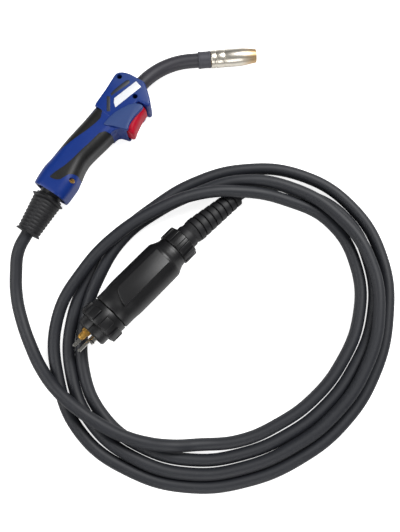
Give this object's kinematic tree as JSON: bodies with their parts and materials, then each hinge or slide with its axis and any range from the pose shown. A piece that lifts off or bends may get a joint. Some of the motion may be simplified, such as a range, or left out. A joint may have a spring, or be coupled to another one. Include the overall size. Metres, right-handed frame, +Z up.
{
  "type": "gas-shielded welding torch with cable",
  "caption": "Gas-shielded arc welding torch with a trigger handle, swan neck, loosely coiled cable and multi-pole connector.",
  "frame": {"origin": "on the bench under the middle of the box around the handle, neck and nozzle", "axes": "+Z up from the bench; the handle and the connector lie along the X-Y plane; the nozzle points along +X, turned 5 degrees towards +Y"},
  "size_m": [0.41, 0.4822, 0.0551],
  "materials": {
    "blue_plastic": "satin moulded nylon in deep blue",
    "soft_rubber": "soft black grip rubber",
    "white_label": "bare white label plate",
    "grey_stripe": "dark grey inlay",
    "brass": "turned brass",
    "red_plastic": "crimson moulded plastic",
    "steel": "plain steel",
    "black_plastic": "black glass-filled plastic",
    "lead_insulation": "insulated control leads",
    "copper": "bare copper",
    "neck_coating": "dark satin insulating sleeve",
    "ceramic": "heat-proof insulator",
    "nickel": "polished nickel plate",
    "boot_rubber": "moulded black rubber",
    "cable_jacket": "charcoal rubber cable jacket",
    "white_plastic": "clamp collet"
  },
  "bodies": {
    "lead": {"torch_cable": "cable_jacket", "rear_boot": "boot_rubber", "ball_sleeve": "black_plastic", "connector_boot": "boot_rubber", "cable_clamp": "white_plastic", "housing_upper": "black_plastic", "housing_lower": "black_plastic", "power_block": "brass", "front_insulator": "black_plastic", "power_pin": "brass", "gas_pin": "brass", "gas_seals": "soft_rubber", "pin_springs": "steel", "housing_screws": "steel"},
    "handle": {"handle_shell_right": "blue_plastic", "handle_shell_left": "blue_plastic", "grip_pad_right": "soft_rubber", "grip_pad_left": "soft_rubber", "label_plates": "white_label", "head_stripes": "grey_stripe", "handle_screws": "brass", "trigger_pin": "steel", "trigger_spring": "steel", "switch_body": "black_plastic", "control_leads": "lead_insulation", "power_core": "copper", "neck_fitting": "brass", "neck_jacket": "neck_coating", "neck_tube": "copper", "wire_liner": "steel", "neck_collar": "black_plastic", "tip_holder": "brass", "gas_diffuser": "ceramic", "contact_tip": "copper", "nozzle_clip": "steel"},
    "trigger": {"trigger": "red_plastic"},
    "plunger": {"switch_plunger": "red_plastic"},
    "nozzle": {"gas_nozzle": "nickel"},
    "connection_nut": {"connection_nut": "black_plastic"},
    "gland_nut": {"gland_nut": "black_plastic"},
    "left_pin": {"contact_pin_left": "nickel"},
    "right_pin": {"contact_pin_right": "nickel"}
  },
  "joints": [
    {"name": "cable_swivel", "type": "hinge", "parent": "lead", "child": "handle", "pos_m": [-0.09781, -0.06767, 0.019], "axis": [0, 0, 1], "range_deg": [-8, 14]},
    {"name": "trigger_press", "type": "hinge", "parent": "handle", "child": "trigger", "pos_m": [-0.0162, 0.01575, 0.019], "axis": [0, 0, -1], "range_deg": [0, 5], "stiffness_Nm_per_rad": 0.4, "springref_deg": -5.73},
    {"name": "plunger_travel", "type": "slide", "parent": "handle", "child": "plunger", "axis": [-0.848, 0.5299, 0], "range_m": [0, 0.0019]},
    {"name": "nozzle_pull", "type": "slide", "parent": "handle", "child": "nozzle", "axis": [0.9962, 0.0872, 0], "range_m": [0, 0.025]},
    {"name": "nut_turn", "type": "hinge", "parent": "lead", "child": "connection_nut", "pos_m": [-0.04071, -0.21544, 0.03097], "axis": [0.6839, 0.7232, -0.0958], "continuous": true},
    {"name": "gland_turn", "type": "hinge", "parent": "lead", "child": "gland_nut", "pos_m": [0.03315, -0.13733, 0.02062], "axis": [0.6839, 0.7232, -0.0958], "continuous": true},
    {"name": "left_pin_press", "type": "slide", "parent": "lead", "child": "left_pin", "axis": [0.6839, 0.7232, -0.0958], "range_m": [0, 0.003], "stiffness_N_per_m": 400, "springref_m": -0.003},
    {"name": "right_pin_press", "type": "slide", "parent": "lead", "child": "right_pin", "axis": [0.6839, 0.7232, -0.0958], "range_m": [0, 0.003], "stiffness_N_per_m": 400, "springref_m": -0.003}
  ],
  "couplings": [
    {"joint": "plunger_travel", "follows": "trigger_press", "m_per_rad": 0.021}
  ]
}
